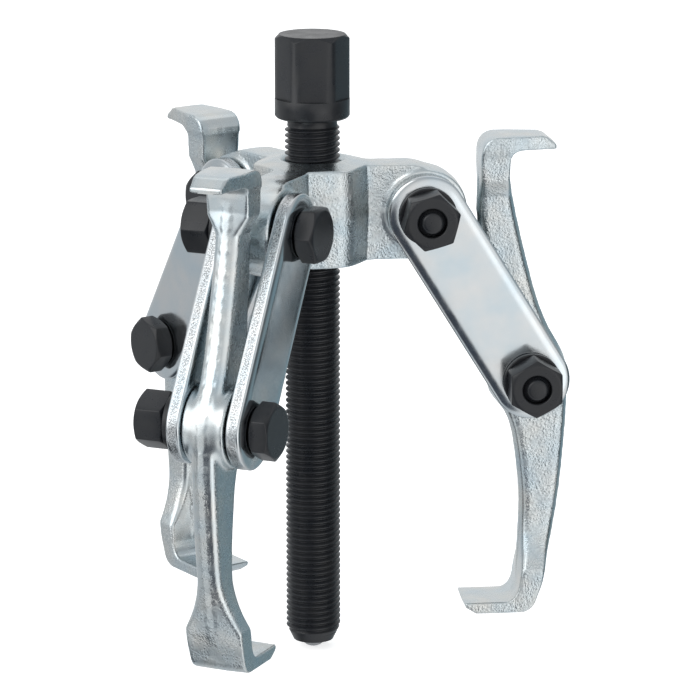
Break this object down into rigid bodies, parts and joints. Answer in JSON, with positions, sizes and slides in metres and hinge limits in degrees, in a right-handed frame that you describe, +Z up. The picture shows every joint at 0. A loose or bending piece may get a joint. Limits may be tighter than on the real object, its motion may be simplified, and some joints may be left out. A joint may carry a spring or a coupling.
{
  "type": "gear puller",
  "caption": "Three-jaw gear puller: forged yoke, threaded forcing spindle with hexagon head, strap links and double-ended hooked jaws.",
  "frame": {"origin": "centre of the hexagon's flat top face, on the spindle axis", "axes": "+Z up along the spindle towards its hexagon head; +X along arm 1; arm 2 at -120 degrees and arm 3 at +120 degrees seen from above"},
  "size_m": [0.1139, 0.1255, 0.1608],
  "materials": {
    "forged_zinc": "drop-forged steel, zinc plated and clear passivated, pebbled skin",
    "stamped_zinc": "rolled steel strip, zinc plated and clear passivated, smooth",
    "black_oxide": "black-oxide steel, satin",
    "bright_steel": "hardened bearing ball, dull grey"
  },
  "bodies": {
    "yoke_body": {"yoke": "forged_zinc"},
    "ball_body": {"thrust_ball": "bright_steel"},
    "spindle_body": {"spindle": "black_oxide"},
    "link_1": {"strap_1_nut_side": "stamped_zinc", "strap_1_head_side": "stamped_zinc", "upper_bolt_1": "black_oxide", "upper_nut_1": "black_oxide", "upper_washer_1": "black_oxide", "lower_bolt_1": "black_oxide", "lower_nut_1": "black_oxide", "lower_washer_1": "black_oxide"},
    "jaw_body_1": {"jaw_1": "forged_zinc"},
    "link_2": {"strap_2_nut_side": "stamped_zinc", "strap_2_head_side": "stamped_zinc", "upper_bolt_2": "black_oxide", "upper_nut_2": "black_oxide", "upper_washer_2": "black_oxide", "lower_bolt_2": "black_oxide", "lower_nut_2": "black_oxide", "lower_washer_2": "black_oxide"},
    "jaw_body_2": {"jaw_2": "forged_zinc"},
    "link_3": {"strap_3_nut_side": "stamped_zinc", "strap_3_head_side": "stamped_zinc", "upper_bolt_3": "black_oxide", "upper_nut_3": "black_oxide", "upper_washer_3": "black_oxide", "lower_bolt_3": "black_oxide", "lower_nut_3": "black_oxide", "lower_washer_3": "black_oxide"},
    "jaw_body_3": {"jaw_3": "forged_zinc"}
  },
  "joints": [
    {"name": "spindle_turn", "type": "hinge", "parent": "ball_body", "child": "spindle_body", "pos_m": [0, 0, 0], "axis": [0, 0, 1], "range_deg": [-2161, 21601]},
    {"name": "spindle_feed", "type": "slide", "parent": "yoke_body", "child": "ball_body", "axis": [0, 0, 1], "range_m": [-0.009, 0.09]},
    {"name": "link_1_swing", "type": "hinge", "parent": "yoke_body", "child": "link_1", "pos_m": [0.0282, 0, -0.04525], "axis": [0, -1, 0], "range_deg": [-15, 55]},
    {"name": "jaw_1_tilt", "type": "hinge", "parent": "link_1", "child": "jaw_body_1", "pos_m": [0.05513, 0, -0.08885], "axis": [0, 1, 0], "range_deg": [-3, 30]},
    {"name": "link_2_swing", "type": "hinge", "parent": "yoke_body", "child": "link_2", "pos_m": [-0.0141, -0.02442, -0.04525], "axis": [-0.866, 0.5, 0], "range_deg": [-15, 55]},
    {"name": "jaw_2_tilt", "type": "hinge", "parent": "link_2", "child": "jaw_body_2", "pos_m": [-0.02756, -0.04774, -0.08885], "axis": [0.866, -0.5, 0], "range_deg": [-3, 30]},
    {"name": "link_3_swing", "type": "hinge", "parent": "yoke_body", "child": "link_3", "pos_m": [-0.0141, 0.02442, -0.04525], "axis": [0.866, 0.5, 0], "range_deg": [-15, 55]},
    {"name": "jaw_3_tilt", "type": "hinge", "parent": "link_3", "child": "jaw_body_3", "pos_m": [-0.02756, 0.04774, -0.08885], "axis": [-0.866, -0.5, 0], "range_deg": [-1.4, 30]}
  ],
  "couplings": [
    {"joint": "spindle_turn", "follows": "spindle_feed", "rad_per_m": 4188.8}
  ]
}
